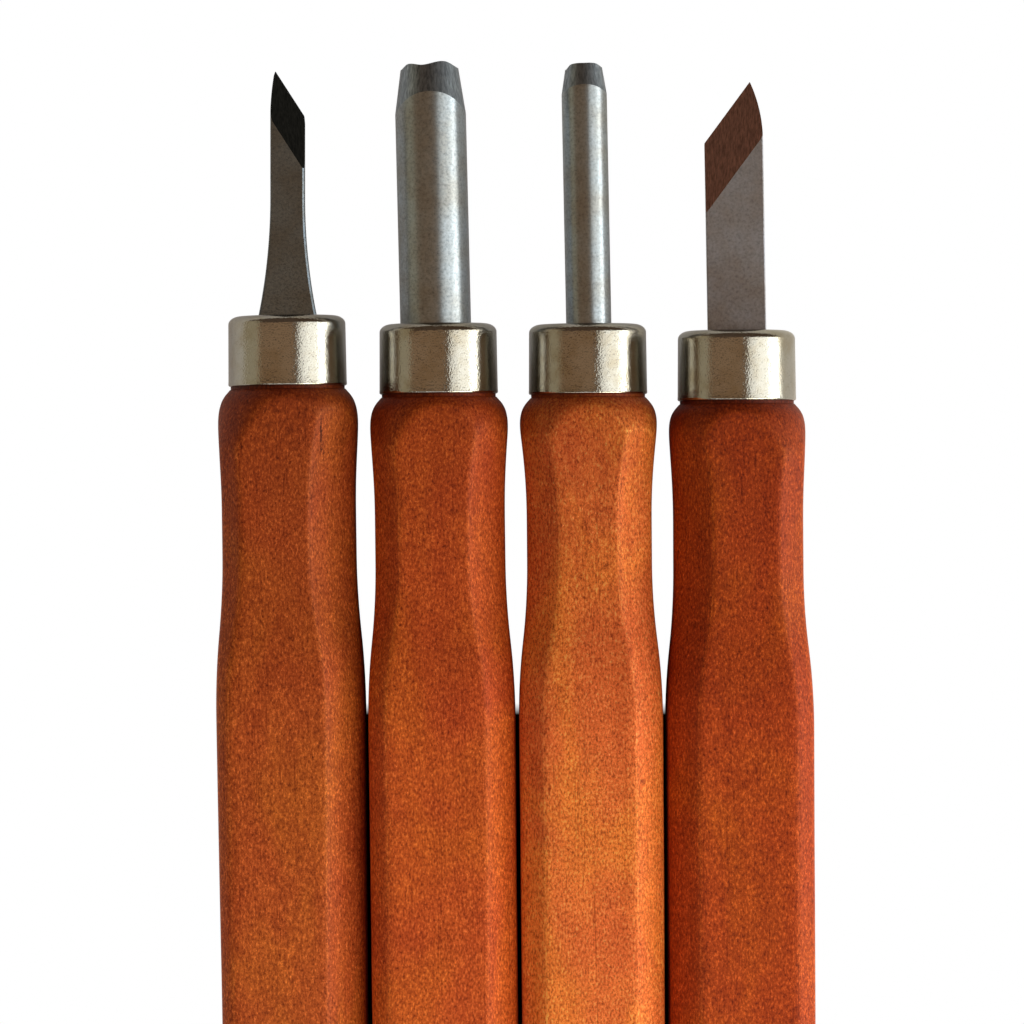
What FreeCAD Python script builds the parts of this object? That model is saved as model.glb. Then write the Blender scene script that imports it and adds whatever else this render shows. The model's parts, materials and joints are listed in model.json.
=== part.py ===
import FreeCAD, Part

import math
import os
from collections import namedtuple

from FreeCAD import Vector

# A set of four lino-cutting hand tools lying side by side on a table, blades pointing along +Y, +Z up.
# Each tool is a waisted octagonal wooden handle, a drawn metal ferrule and a steel blade with a hidden tang.
# All sizes are millimetres. A tool's own frame has its axis along Y, blade towards +Y, and y = 0 at the
# ferrule's lower edge, so the handle runs down to negative y.

# Handle, distances measured from the ferrule's lower edge towards the butt
HANDLE_LENGTH = 103.0
SHOULDER_AT = 4.0
WAIST_FROM = 12.5
WAIST_TO = 17.0
BULGE_AT = 33.0
BUTT_DOME_RADIUS = 12.0

# Handle depth, from the flat that lies on the table to the flat on top
DEPTH_SHOULDER = 12.9
DEPTH_WAIST = 12.7
DEPTH_BULGE = 14.6

# The corner facets are wider where the handle is thinner
FACET_EXTRA_SHOULDER = 0.30
FACET_EXTRA_WAIST = 0.75
FACET_UNDERSIDE = 2.4

# Turned neck: a notch under the ferrule, then a rounded shoulder that stands out past the ferrule. Below it
# the blank swells quickly to a radius beyond the corners, so the facets alone shape the rest.
NOTCH_DEPTH = 0.2
NOTCH_LENGTH = 0.35
NECK_ROUNDING = 0.1
NECK_FULLNESS = 0.25
SHOULDER_STEP = 1.2
SHOULDER_DROP = 2.6
CORNER_SWELL = 1.5
CORNER_SWELL_AT = 8.4
BLANK_SPARE = 2.9

# Ferrule: a drawn cap with a rounded top edge
FERRULE_RADIUS = 6.0
FERRULE_HEIGHT = 7.1
FERRULE_WALL = 0.6
FERRULE_CORNER = 1.4
FERRULE_RIM_BREAK = 0.1
SPIGOT_CLEARANCE = 0.05
BLADE_SLOT_CLEARANCE = 0.12

# Blade heel and tang
HEEL_DEPTH = 2.5
HEEL_CLEARANCE = 0.08
FLUTE_RUN_IN = 1.0
TANG_LENGTH = 25.0
TANG_ROOT = (3.0, 1.8)
TANG_TIP = (1.4, 1.0)
TANG_CLEARANCE = 0.05
TANG_END_GAP = 0.5
EDGE_LAND = 0.05

# Loose tools lie this far apart where their handles are widest
GAP_BETWEEN_TOOLS = 0.3

MARGIN = 1.0
BOX_TOLERANCE = 0.01

# A flat knife. It is width across, and base_width where it enters the ferrule, changing over flare. The point
# is on one side (-1 left, +1 right), point_inset in from that side, which curves in over point_curve. The
# cutting edge falls back edge_drop to the other side, and its bevel is bevel long, measured along the blade.
Knife = namedtuple(
    "Knife", "length width base_width flare thickness side point_inset point_curve edge_drop bevel"
)

# A gouge, a half tube open towards the table. The bevel is ground on the outside: it takes the half width
# down to tip_half_width over bevel_side, and is only bevel_crown long on the crown. worn_edge holds points of
# the cutting edge as (across, back from the foremost point).
Gouge = namedtuple("Gouge", "length width wall leg tip_half_width bevel_side bevel_crown worn_edge")

# A tool. lean turns it on the table in degrees, top to the left, and setback draws it towards -Y. shoulder,
# waist, bulge and butt are the handle's widths there. facet_left and facet_right are the two upper corner
# facets at the bulge, seen from above. The blade sits blade_shift off the axis and leans blade_lean more.
Tool = namedtuple(
    "Tool",
    "name lean setback shoulder waist bulge butt facet_left facet_right blade_shift blade_lean blade",
)

NARROW_KNIFE = Knife(
    length=25.0, width=3.5, base_width=5.9, flare=12.0, thickness=1.6,
    side=-1, point_inset=0.4, point_curve=4.8, edge_drop=4.8, bevel=5.6,
)
BROAD_KNIFE = Knife(
    length=25.3, width=5.9, base_width=5.9, flare=0.0, thickness=1.8,
    side=1, point_inset=1.17, point_curve=5.8, edge_drop=6.2, bevel=7.2,
)
WIDE_GOUGE = Gouge(
    length=26.6, width=7.2, wall=0.9, leg=0.6, tip_half_width=2.85, bevel_side=5.2, bevel_crown=3.1,
    worn_edge=[(-2.85, 0.7), (-2.13, 0.2), (-0.66, 0.37), (1.52, 0.0), (2.85, 0.62)],
)
NARROW_GOUGE = Gouge(
    length=26.5, width=4.6, wall=0.75, leg=0.5, tip_half_width=1.8, bevel_side=3.1, bevel_crown=2.2,
    worn_edge=[(-1.8, 0.9), (0.1, 0.0), (1.8, 0.35)],
)

TOOLS = [
    Tool(
        name="narrow_knife", lean=0.77, setback=0.0,
        shoulder=14.4, waist=13.5, bulge=15.0, butt=14.0, facet_left=1.2, facet_right=3.8,
        blade_shift=0.1, blade_lean=-0.77, blade=NARROW_KNIFE,
    ),
    Tool(
        name="wide_gouge", lean=0.64, setback=0.8,
        shoulder=14.1, waist=13.2, bulge=14.9, butt=14.5, facet_left=1.7, facet_right=2.9,
        blade_shift=-0.25, blade_lean=0.76, blade=WIDE_GOUGE,
    ),
    Tool(
        name="narrow_gouge", lean=0.47, setback=0.85,
        shoulder=13.9, waist=12.7, bulge=14.6, butt=14.3, facet_left=2.4, facet_right=2.7,
        blade_shift=0.15, blade_lean=0.68, blade=NARROW_GOUGE,
    ),
    Tool(
        name="broad_knife", lean=0.39, setback=1.5,
        shoulder=13.9, waist=13.1, bulge=14.9, butt=14.5, facet_left=3.05, facet_right=1.7,
        blade_shift=0.05, blade_lean=0.6, blade=BROAD_KNIFE,
    ),
]

SPIGOT_LENGTH = FERRULE_HEIGHT - HEEL_DEPTH - HEEL_CLEARANCE
AXIS_HEIGHT = DEPTH_BULGE / 2
FERRULE_BORE_RADIUS = FERRULE_RADIUS - FERRULE_WALL
NOTCH_RADIUS = FERRULE_RADIUS - NOTCH_DEPTH
SHOULDER_RADIUS = FERRULE_RADIUS + SHOULDER_STEP
BLANK_RADIUS = max(DEPTH_BULGE, *(tool.bulge for tool in TOOLS)) / 2 + BLANK_SPARE
DOME_RADIUS = max(BUTT_DOME_RADIUS, BLANK_RADIUS + MARGIN)


def face_of(edges):
    return Part.Face(Part.Wire(edges))


def line(a, b):
    return Part.LineSegment(a, b).toShape()


def polygon_face(points):
    return Part.Face(Part.makePolygon(points + [points[0]]))


def s_bend(place, s0, d0, s1, d1):
    """Two equal arcs that carry a face from depth d0 to d1 and leave both ends parallel to the axis."""
    if abs(d1 - d0) < 0.01:
        return [line(place(s0, d0), place(s1, d1))]
    mid_s, mid_d = (s0 + s1) / 2, (d0 + d1) / 2
    quarter = abs(s1 - s0) / 4
    rise = (d1 - d0) / 2
    radius = ((mid_s - s0) ** 2 + rise**2) / (2 * abs(rise))
    sag = radius - math.sqrt(radius**2 - quarter**2)
    first = d0 + math.copysign(sag, rise)
    last = d1 - math.copysign(sag, rise)
    return [
        Part.Arc(place(s0, d0), place(s0 + quarter, first), place(mid_s, mid_d)).toShape(),
        Part.Arc(place(mid_s, mid_d), place(s1 - quarter, last), place(s1, d1)).toShape(),
    ]


def hollow_arc(place, shoulder, waist):
    """The hollow between shoulder and waist, an arc level at the waist and carried on past the neck."""
    run = WAIST_FROM - SHOULDER_AT
    rise = shoulder - waist
    if abs(rise) < 0.01:
        return line(place(-MARGIN, waist), place(WAIST_FROM, waist))
    radius = (run**2 + rise**2) / (2 * abs(rise))

    def depth(s):
        return waist + math.copysign(radius - math.sqrt(radius**2 - (WAIST_FROM - s) ** 2), rise)

    middle = (WAIST_FROM - MARGIN) / 2
    points = [place(s, depth(s)) for s in (-MARGIN, middle)]
    return Part.Arc(points[0], points[1], place(WAIST_FROM, waist)).toShape()


def facet_profile(place, shoulder, waist, bulge, butt):
    """One face of the handle in side view, from the neck to past the butt."""
    end = HANDLE_LENGTH + MARGIN
    edges = [hollow_arc(place, shoulder, waist)]
    edges.append(line(place(WAIST_FROM, waist), place(WAIST_TO, waist)))
    edges += s_bend(place, WAIST_TO, waist, BULGE_AT, bulge)
    edges.append(line(place(BULGE_AT, bulge), place(end, butt)))
    return edges


def facet_pair(angle, plus, minus):
    """The space between two opposite faces of the handle, the first facing +X turned by angle towards +Z."""
    turn = math.radians(angle)
    normal = Vector(math.cos(turn), 0, math.sin(turn))
    across = Vector(-math.sin(turn), 0, math.cos(turn))
    half_width = 2 * BLANK_RADIUS
    sides = []
    for sign, depths in ((1, plus), (-1, minus)):

        def place(s, d, sign=sign):
            return Vector(0, -s, 0) + normal * (sign * d) - across * half_width

        sides.append(facet_profile(place, *depths))
    starts = [side[0].Vertexes[0].Point for side in sides]
    ends = [side[-1].Vertexes[-1].Point for side in sides]
    edges = sides[0] + sides[1] + [line(ends[0], ends[1]), line(starts[1], starts[0])]
    return face_of(Part.sortEdges(edges)[0]).extrude(across * (2 * half_width))


def corner_depths(halves, depths, facet):
    """Distance from the axis of a 45 degree corner face that leaves the top flat facet short of the side."""
    extras = (FACET_EXTRA_SHOULDER, FACET_EXTRA_WAIST, 0.0, 0.0)
    return [(a + b - facet - extra) / math.sqrt(2) for a, b, extra in zip(halves, depths, extras)]


def turned_blank():
    """Spigot, notch and shoulder of the turned blank, and its domed butt."""
    spigot = FERRULE_BORE_RADIUS - SPIGOT_CLEARANCE
    neck = Vector(NOTCH_RADIUS + NECK_ROUNDING, -NOTCH_LENGTH, 0)
    crest = Vector(SHOULDER_RADIUS, -NOTCH_LENGTH - SHOULDER_DROP, 0)
    full = (neck + crest) * 0.5 + Vector(NECK_FULLNESS, 0, 0)
    swell = Vector(SHOULDER_RADIUS + CORNER_SWELL, -CORNER_SWELL_AT, 0)
    widest = Vector(BLANK_RADIUS, -WAIST_TO, 0)
    shoulder = Part.BSplineCurve()
    shoulder.interpolate([neck, full, crest, swell, widest])

    def dome(angle):
        reach = HANDLE_LENGTH - DOME_RADIUS + DOME_RADIUS * math.cos(angle)
        return Vector(DOME_RADIUS * math.sin(angle), -reach, 0)

    rim = math.asin(BLANK_RADIUS / DOME_RADIUS)
    corners = [
        Vector(0, SPIGOT_LENGTH, 0),
        Vector(spigot, SPIGOT_LENGTH, 0),
        Vector(spigot, 0, 0),
        Vector(NOTCH_RADIUS, 0, 0),
        Vector(NOTCH_RADIUS, -NOTCH_LENGTH, 0),
        neck,
    ]
    edges = [line(a, b) for a, b in zip(corners, corners[1:])]
    edges.append(shoulder.toShape())
    edges.append(line(widest, dome(rim)))
    edges.append(Part.Arc(dome(rim), dome(rim / 2), dome(0)).toShape())
    edges.append(line(dome(0), corners[0]))
    return face_of(edges).revolve(Vector(), Vector(0, 1, 0), 360)


def tang(clearance, end_gap):
    """The tapered tang, from inside the heel down. A blade's own frame has y = 0 at the ferrule's top."""
    root = -HEEL_DEPTH + FLUTE_RUN_IN / 2
    tip = -HEEL_DEPTH - TANG_LENGTH - end_gap
    sections = []
    for y, (width, thickness) in ((root, TANG_ROOT), (tip, TANG_TIP)):
        x, z = width / 2 + clearance, thickness / 2 + clearance
        corners = [Vector(i * x, y, k * z) for i, k in ((1, 1), (-1, 1), (-1, -1), (1, -1))]
        sections.append(Part.makePolygon(corners + [corners[0]]))
    return Part.makeLoft(sections, True, True)


def knife_outline(knife):
    """Outline seen from above, drawn with the point on the right and mirrored to the knife's own side."""
    half, base = knife.width / 2, knife.base_width / 2
    length = knife.length

    def at(x, y):
        return Vector(knife.side * x, y, -knife.thickness / 2)

    def flare(sign, y0, y1):
        if base - half < 0.01:
            return line(at(sign * half, y0), at(sign * half, y1))
        radius = ((base - half) ** 2 + knife.flare**2) / (2 * (base - half))
        middle = knife.flare / 2
        x = half + radius - math.sqrt(radius**2 - middle**2)
        start, end = (base, half) if y1 > y0 else (half, base)
        return Part.Arc(at(sign * start, y0), at(sign * x, middle), at(sign * end, y1)).toShape()

    inset, curve = knife.point_inset, knife.point_curve
    radius = (inset**2 + curve**2) / (2 * inset)
    curve_mid = half - (radius - math.sqrt(radius**2 - (curve / 2) ** 2))
    level = max(knife.flare, MARGIN)
    return [
        line(at(-base, -HEEL_DEPTH), at(base, -HEEL_DEPTH)),
        line(at(base, -HEEL_DEPTH), at(base, 0)),
        flare(1, 0, level),
        line(at(half, level), at(half, length - curve)),
        Part.Arc(
            at(half, length - curve), at(curve_mid, length - curve / 2), at(half - inset, length)
        ).toShape(),
        line(at(half - inset, length), at(-half, length - knife.edge_drop)),
        line(at(-half, length - knife.edge_drop), at(-half, level)),
        flare(-1, level, 0),
        line(at(-base, 0), at(-base, -HEEL_DEPTH)),
    ]


def knife_blade(knife):
    bar = face_of(knife_outline(knife)).extrude(Vector(0, 0, knife.thickness))
    point = Vector(knife.side * (knife.width / 2 - knife.point_inset), knife.length, 0)
    heel = Vector(-knife.side * knife.width / 2, knife.length - knife.edge_drop, 0)
    edge = heel - point
    edge.normalize()
    low = Vector(0, 0, -knife.thickness / 2 + EDGE_LAND)
    high = Vector(0, -knife.bevel, knife.thickness / 2)
    slope = (high - low) * 0.2
    above = Vector(0, 0, knife.thickness + MARGIN)
    reach = edge * (2 * knife.width)
    section = [low - slope, high + slope, high + slope + above, low - slope + above]
    cutter = polygon_face([point - reach + p for p in section]).extrude(reach * 3)
    return bar.cut(cutter).fuse(tang(0.0, 0.0))


def knife_slot(knife, clearance):
    x, z = knife.base_width / 2 + clearance, knife.thickness / 2 + clearance
    corners = [Vector(i * x, -HEEL_DEPTH, k * z) for i, k in ((1, 1), (-1, 1), (-1, -1), (1, -1))]
    return polygon_face(corners).extrude(Vector(0, HEEL_DEPTH + MARGIN, 0))


def arch(across, up, centre, leg, y):
    """A wire round an arch: half an ellipse on two straight legs, closed along the bottom."""
    middle = Vector(0, y, centre)
    top = middle + Vector(0, 0, up)
    right, left = middle + Vector(across, 0, 0), middle - Vector(across, 0, 0)
    if abs(up - across) < 1e-6:
        crown = Part.Arc(left, top, right).toShape()
    elif up > across:
        crown = Part.ArcOfEllipse(Part.Ellipse(top, right, middle), -math.pi / 2, math.pi / 2).toShape()
    else:
        crown = Part.ArcOfEllipse(Part.Ellipse(right, top, middle), 0, math.pi).toShape()
    ends = [crown.Vertexes[-1].Point, crown.Vertexes[0].Point]
    down = Vector(0, 0, -leg)
    legs = [ends[0], ends[0] + down, ends[1] + down, ends[1]]
    return Part.Wire([crown] + [line(a, b) for a, b in zip(legs, legs[1:])])


def gouge_centre(gouge):
    """Height of the half tube's centre line that puts the section in the middle of the tool."""
    return (gouge.leg - gouge.width / 2) / 2


def gouge_section(gouge, grow, leg_grow, y):
    radius = gouge.width / 2 + grow
    return arch(radius, radius, gouge_centre(gouge), gouge.leg + leg_grow, y)


def gouge_blade(gouge):
    body = Part.Face(gouge_section(gouge, 0.0, 0.0, -HEEL_DEPTH))
    body = body.extrude(Vector(0, HEEL_DEPTH + gouge.length, 0))
    flute = Part.Face(gouge_section(gouge, -gouge.wall, MARGIN, -FLUTE_RUN_IN))
    body = body.cut(flute.extrude(Vector(0, FLUTE_RUN_IN + gouge.length + MARGIN, 0)))

    half = gouge.width / 2
    back = 2 * gouge.bevel_side
    side_slope = (half - gouge.tip_half_width) / gouge.bevel_side
    crown_slope = (half - gouge.tip_half_width) / gouge.bevel_crown
    start, end = gouge.length - back, gouge.length + MARGIN

    def ground(y):
        grown = gouge.length - y
        across = gouge.tip_half_width + side_slope * grown
        up = gouge.tip_half_width + crown_slope * grown
        return arch(across, up, gouge_centre(gouge), gouge.leg + MARGIN, y)

    cone = Part.makeLoft([ground(start), ground(end)], True, True)
    around = Part.makeBox(
        4 * half, end - start, 4 * half, Vector(-2 * half, start, gouge_centre(gouge) - 2 * half)
    )
    body = body.cut(around.cut(cone))

    worn = Part.BSplineCurve()
    worn.interpolate([Vector(x, gouge.length - worn_by, -half) for x, worn_by in gouge.worn_edge])
    first, last = worn.StartPoint, worn.EndPoint
    lift = Vector(0, 4 * MARGIN, 0)
    out = Vector(half, 0, 0)
    rim = [last, last + out, last + out + lift, first - out + lift, first - out, first]
    edges = [worn.toShape()] + [line(a, b) for a, b in zip(rim, rim[1:])]
    front = face_of(edges).extrude(Vector(0, 0, 4 * half))
    front.translate(Vector(0, 0, -half))
    return body.cut(front).fuse(tang(0.0, 0.0))


def gouge_slot(gouge, clearance):
    section = Part.Face(gouge_section(gouge, clearance, clearance, -HEEL_DEPTH))
    return section.extrude(Vector(0, HEEL_DEPTH + MARGIN, 0))


def seat_blade(tool, shape):
    """Carry a shape from the blade's frame to the tool's frame."""
    shape.rotate(Vector(), Vector(0, 0, 1), tool.blade_lean)
    shape.translate(Vector(tool.blade_shift, FERRULE_HEIGHT, 0))
    return shape


def blade(tool):
    make = knife_blade if isinstance(tool.blade, Knife) else gouge_blade
    return seat_blade(tool, make(tool.blade))


def blade_slot(tool):
    make = knife_slot if isinstance(tool.blade, Knife) else gouge_slot
    return seat_blade(tool, make(tool.blade, BLADE_SLOT_CLEARANCE))


def ferrule(tool):
    shell = Part.makeCylinder(FERRULE_RADIUS, FERRULE_HEIGHT, Vector(), Vector(0, 1, 0))
    tops = [e for e in shell.Edges if min(v.Y for v in e.Vertexes) > FERRULE_HEIGHT - 1e-6]
    shell = shell.makeFillet(FERRULE_CORNER, [e for e in tops if e.Length > FERRULE_HEIGHT])
    rims = [e for e in shell.Edges if max(v.Y for v in e.Vertexes) < 1e-6]
    shell = shell.makeFillet(FERRULE_RIM_BREAK, [e for e in rims if e.Length > FERRULE_HEIGHT])
    depth = FERRULE_HEIGHT - FERRULE_WALL
    core = Part.makeCylinder(FERRULE_BORE_RADIUS, depth + MARGIN, Vector(0, -MARGIN, 0), Vector(0, 1, 0))
    tops = [e for e in core.Edges if min(v.Y for v in e.Vertexes) > depth - 1e-6]
    core = core.makeFillet(FERRULE_CORNER - FERRULE_WALL, [e for e in tops if e.Length > depth])
    return shell.cut(core).cut(blade_slot(tool))


def handle(tool):
    halves = [tool.shoulder / 2, tool.waist / 2, tool.bulge / 2, tool.butt / 2]
    depths = [DEPTH_SHOULDER / 2, DEPTH_WAIST / 2, DEPTH_BULGE / 2, DEPTH_BULGE / 2]
    under = corner_depths(halves, depths, FACET_UNDERSIDE)
    upper_right = corner_depths(halves, depths, tool.facet_right)
    upper_left = corner_depths(halves, depths, tool.facet_left)
    body = turned_blank()
    front = Part.makeCylinder(FERRULE_BORE_RADIUS, SPIGOT_LENGTH + MARGIN, Vector(), Vector(0, 1, 0))
    for angle, plus, minus in (
        (0, halves, halves),
        (90, depths, depths),
        (45, upper_right, under),
        (135, upper_left, under),
    ):
        body = body.common(facet_pair(angle, plus, minus).fuse(front))
    return body.cut(seat_blade(tool, tang(TANG_CLEARANCE, TANG_END_GAP)))


def rank_places():
    """Where each tool's axis crosses its bulge, so that neighbours keep the same gap at their widest."""
    widths = [max(tool.shoulder, tool.waist, tool.bulge, tool.butt) for tool in TOOLS]
    places = [0.0]
    for left, right in zip(widths, widths[1:]):
        places.append(places[-1] + (left + right) / 2 + GAP_BETWEEN_TOOLS)
    return places


def main():
    os.makedirs("parts", exist_ok=True)
    solids = {}
    for tool, x in zip(TOOLS, rank_places()):
        pieces = {"handle": handle(tool), "ferrule": ferrule(tool), "blade": blade(tool)}
        for piece, shape in pieces.items():
            shape.rotate(Vector(0, -BULGE_AT, 0), Vector(0, 0, 1), tool.lean)
            shape.translate(Vector(x, -tool.setback, AXIS_HEIGHT))
            solids[f"{tool.name}_{piece}"] = shape.removeSplitter()
    points = [p for shape in solids.values() for p in shape.tessellate(BOX_TOLERANCE)[0]]
    low = Vector(*(min(axis) for axis in zip(*points)))
    high = Vector(*(max(axis) for axis in zip(*points)))
    centre = Vector((low.x + high.x) / 2, (low.y + high.y) / 2, 0)
    for name, shape in solids.items():
        shape.translate(-centre)
        if len(shape.Solids) != 1 or not shape.isValid():
            raise RuntimeError(f"{name} has {len(shape.Solids)} solids, valid {shape.isValid()}")
        solid = shape.Solids[0]
        solid.exportStep(os.path.join("parts", name + ".step"))
        at = solid.BoundBox
        print(f"{name}: {at.XLength:.2f} x {at.YLength:.2f} x {at.ZLength:.2f}, {solid.Volume:.1f} mm3")
    print("whole set: {:.2f} x {:.2f} x {:.2f}".format(*(high - low)))


main()
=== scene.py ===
import json
import math

import bmesh
import bpy
from bpy.props import FloatProperty, FloatVectorProperty, PointerProperty
from mathutils import Matrix, Vector, noise


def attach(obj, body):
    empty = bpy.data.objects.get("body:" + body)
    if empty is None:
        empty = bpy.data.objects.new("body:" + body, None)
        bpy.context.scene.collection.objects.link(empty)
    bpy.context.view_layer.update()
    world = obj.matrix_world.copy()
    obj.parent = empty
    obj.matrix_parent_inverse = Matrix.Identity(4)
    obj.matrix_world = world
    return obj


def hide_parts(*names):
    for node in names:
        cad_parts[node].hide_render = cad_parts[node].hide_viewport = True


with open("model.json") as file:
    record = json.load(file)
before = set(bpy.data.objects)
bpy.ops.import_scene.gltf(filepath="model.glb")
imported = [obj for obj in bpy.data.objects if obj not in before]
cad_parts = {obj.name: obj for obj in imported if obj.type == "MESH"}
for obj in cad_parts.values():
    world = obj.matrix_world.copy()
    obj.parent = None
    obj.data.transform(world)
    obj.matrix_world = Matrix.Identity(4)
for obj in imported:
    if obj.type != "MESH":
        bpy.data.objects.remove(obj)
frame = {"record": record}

bl_info = {
    "name": "Lino Cutter Set",
    "version": (1, 0, 0),
    "blender": (4, 5, 0),
    "location": "3D Viewport > Sidebar > Lino Cutters",
    "description": "Builds four lino cutters: stained octagonal handles, plated ferrules and steel blades",
    "category": "Add Mesh",
}

MM = 0.001
TOOLS = ("narrow_knife", "wide_gouge", "narrow_gouge", "broad_knife")
KNIVES = ("narrow_knife", "broad_knife")
# single marks in the wood: millimetres to the right of the axis and below the ferrule, half width and half
# length, and how much of the light they leave. A hair crack is drawn twice as wide as it is, so that it shows
MARKS = {
    "narrow_knife": ((3.5, 5.0, 0.11, 1.6, 0.20), (3.7, 6.3, 0.08, 1.2, 0.55)),
    "wide_gouge": ((0.2, 32.0, 0.07, 2.4, 0.62), (-3.4, 27.5, 0.10, 0.9, 0.60)),
    "narrow_gouge": (
        (5.1, 39.0, 0.26, 0.24, 0.55),
        (-4.3, 39.8, 0.12, 0.9, 0.58),
        (0.5, 34.6, 0.16, 0.32, 0.55),
        (-0.8, 35.6, 0.08, 0.7, 0.62),
    ),
    "broad_knife": ((1.6, 6.5, 0.14, 1.1, 0.55), (0.2, 9.0, 0.12, 1.5, 0.60), (2.6, 10.5, 0.10, 1.3, 0.60)),
}


def linear(hex_colour):
    """An sRGB hex colour such as "a7471e" as linear RGBA."""
    channels = [int(hex_colour[i : i + 2], 16) / 255 for i in (0, 2, 4)]
    return [c / 12.92 if c <= 0.04045 else ((c + 0.055) / 1.055) ** 2.4 for c in channels] + [1.0]


# what the numbers of one property stand for
WIDTHS = "Widths at shoulder, waist, bulge, butt"
FACETS = "Upper corner facets, left and right"
KNIFE = "Length, width, width at ferrule, flare and thickness"
POINT = "Point inset, length of its curve, edge drop and bevel"
GOUGE = "Length, width, wall and straight leg"
BEVEL = "Half width at the tip, bevel at the sides and on the crown"
WEAR = "How far the edge is worn back, left to right"
WEAR_PLACES = "Where along the edge the wear is given"


def length(name, mm, description):
    return FloatProperty(name=name, description=description, default=mm * MM, unit="LENGTH", precision=5)


def lengths(name, mm, description):
    sizes = tuple(v * MM for v in mm)
    return FloatVectorProperty(
        name=name, description=description, default=sizes, size=len(sizes), unit="LENGTH", precision=5
    )


def colour(name, hex_colour, description):
    return FloatVectorProperty(
        name=name, description=description, default=linear(hex_colour), size=4, subtype="COLOR", min=0, max=1
    )


class HandleSizes(bpy.types.PropertyGroup):
    """Sizes of the wooden handles. Places along a handle are distances from the ferrule's lower edge"""

    full_length: length("Length", 103.0, "From the ferrule's lower edge to the butt")
    spigot_length: length("Spigot", 4.5, "Part of the handle inside the ferrule")
    spigot_radius: length("Spigot Radius", 5.3, "Radius inside the ferrule")
    notch_radius: length("Notch Radius", 5.78, "Radius of the groove under the ferrule")
    shoulder_at: length("Shoulder At", 4.0, "Place of the shoulder")
    waist_from: length("Waist From", 12.5, "Where the waist starts")
    waist_to: length("Waist To", 17.0, "Where the waist ends")
    bulge_at: length("Bulge At", 33.0, "Where the handle reaches its full size")
    dome_radius: length("Butt Radius", 12.0, "Radius of the domed butt")
    depths: lengths(
        "Depths", (12.9, 12.7, 14.6, 14.6), "Table side to top side, at shoulder, waist, bulge and butt"
    )
    underside_facets: length("Underside Facets", 2.4, "Corner facets next to the table")
    facet_extra: lengths("Facet Extra", (0.30, 0.75, 0.0, 0.0), "Wider corner facets where it is thinner")
    narrow_knife: lengths("Narrow Knife", (14.4, 13.5, 15.0, 14.0), WIDTHS)
    wide_gouge: lengths("Wide Gouge", (14.1, 13.2, 14.9, 14.5), WIDTHS)
    narrow_gouge: lengths("Narrow Gouge", (13.9, 12.7, 14.6, 14.3), WIDTHS)
    broad_knife: lengths("Broad Knife", (13.9, 13.1, 14.9, 14.5), WIDTHS)
    narrow_knife_facets: lengths("Narrow Knife Facets", (1.2, 3.8), FACETS)
    wide_gouge_facets: lengths("Wide Gouge Facets", (1.7, 2.9), FACETS)
    narrow_gouge_facets: lengths("Narrow Gouge Facets", (2.4, 2.7), FACETS)
    broad_knife_facets: lengths("Broad Knife Facets", (3.05, 1.7), FACETS)
    ridge_crispness: FloatProperty(
        name="Ridge Crispness", description="Higher gives sharper edges along the top", default=50, min=10
    )
    side_crispness: FloatProperty(
        name="Side Crispness", description="Higher gives sharper edges at the sides", default=24, min=10
    )
    hand_shaping: length("Hand Shaping", 0.06, "Depth of the slight hollows that sanding left")


class FerruleSizes(bpy.types.PropertyGroup):
    """Sizes of the plated ferrules"""

    radius: length("Radius", 6.0, "Outside radius")
    height: length("Height", 7.1, "Height of the ferrule")
    wall: length("Wall", 0.6, "Thickness of the metal")
    corner: lengths("Corner", (1.2, 0.85), "Size of the drawn top corner, across and along")
    draft: length("Draft", 0.06, "How much narrower the top is than the mouth")
    slot_clearance: length("Slot Clearance", 0.06, "Gap between the slot and the blade")


class BladeSizes(bpy.types.PropertyGroup):
    """Sizes of the blades. A blade's own zero is the ferrule's top"""

    heel: length("Heel", 2.45, "Part of a blade inside the ferrule")
    edge_land: length("Edge Land", 0.05, "Thickness left at a knife's cutting edge")
    narrow_knife_edges: length("Narrow Knife Edges", 0.24, "Rounding of the long edges")
    broad_knife_edges: length("Broad Knife Edges", 0.10, "Rounding of the long edges")
    narrow_knife: lengths("Narrow Knife", (25.0, 3.5, 5.9, 12.0, 1.6), KNIFE)
    narrow_knife_point: lengths("Narrow Knife Point", (0.4, 4.8, 4.8, 5.6), POINT)
    broad_knife: lengths("Broad Knife", (25.3, 5.9, 5.9, 1.0, 1.8), KNIFE)
    broad_knife_point: lengths("Broad Knife Point", (1.17, 5.8, 6.2, 7.2), POINT)
    wide_gouge: lengths("Wide Gouge", (26.6, 7.2, 0.9, 0.6), GOUGE)
    wide_gouge_bevel: lengths("Wide Gouge Bevel", (2.85, 5.2, 3.1), BEVEL)
    wide_gouge_worn: lengths("Wide Gouge Wear", (0.7, 0.2, 0.37, 0.02, 0.62), WEAR)
    wide_gouge_worn_at: lengths("Wide Gouge Wear Places", (-2.85, -2.13, -0.66, 1.52, 2.85), WEAR_PLACES)
    narrow_gouge: lengths("Narrow Gouge", (26.5, 4.6, 0.75, 0.5), GOUGE)
    narrow_gouge_bevel: lengths("Narrow Gouge Bevel", (1.8, 3.1, 2.2), BEVEL)
    narrow_gouge_worn: lengths("Narrow Gouge Wear", (0.6, 0.12, 0.02, 0.06, 0.4), WEAR)
    narrow_gouge_worn_at: lengths("Narrow Gouge Wear Places", (-1.8, -1.3, 0.1, 1.2, 1.8), WEAR_PLACES)


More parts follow.
